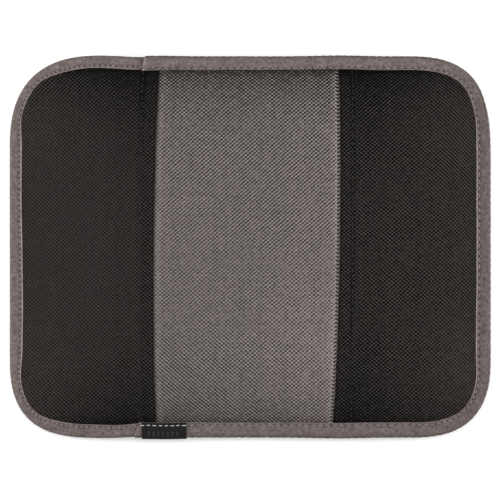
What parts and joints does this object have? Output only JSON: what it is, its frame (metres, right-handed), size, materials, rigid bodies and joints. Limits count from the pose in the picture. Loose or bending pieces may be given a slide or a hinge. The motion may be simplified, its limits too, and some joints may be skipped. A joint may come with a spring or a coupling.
{
  "type": "padded tablet sleeve",
  "caption": "Flat padded fabric sleeve with a taped edge, open at one end, where the front wall's lip folds up to let a tablet slide in.",
  "frame": {"origin": "under the middle of the sleeve, on the surface that it lies on", "axes": "+X from the mouth to the closed end, +Y up the face, away from the label, +Z out of the face"},
  "size_m": [0.265, 0.2116, 0.0232],
  "materials": {
    "black_fabric": "coarse plain-woven black nylon with a slight sheen on each float",
    "grey_fabric": "coarse plain-woven warm grey nylon with dark gaps between the floats",
    "foam": "dark closed-cell foam, matt",
    "lining": "smooth grey knitted lining, matt",
    "binding_tape": "taupe grey folded polyester tape, fine twill, matt",
    "grey_thread": "bonded taupe grey sewing thread",
    "dark_thread": "bonded black sewing thread",
    "label_weave": "dense black woven label, satin",
    "white_thread": "off-white sewing thread"
  },
  "bodies": {
    "root": {"left_panel_seam_strip": "black_fabric", "centre_panel": "grey_fabric", "right_panel": "black_fabric", "front_foam": "foam", "front_lining": "lining", "back_panel": "black_fabric", "back_foam": "foam", "back_lining": "lining", "back_lip_binding": "binding_tape", "perimeter_binding": "binding_tape", "left_topstitch": "dark_thread", "right_topstitch": "dark_thread", "perimeter_thread_front": "grey_thread", "perimeter_thread_back": "grey_thread", "back_lip_thread_outside": "grey_thread", "back_lip_thread_inside": "grey_thread", "mouth_end_tacks": "grey_thread", "label": "label_weave", "label_thread": "white_thread"},
    "mouth_lip": {"left_panel": "black_fabric", "lip_foam": "foam", "lip_lining": "lining", "lip_binding": "binding_tape", "lip_thread_outside": "grey_thread", "lip_thread_inside": "grey_thread"}
  },
  "joints": [
    {"name": "lip_fold", "type": "hinge", "parent": "root", "child": "mouth_lip", "pos_m": [-0.0675, 0, 0.018], "axis": [0, 1, 0], "range_deg": [0, 60], "stiffness_Nm_per_rad": 0.02}
  ]
}
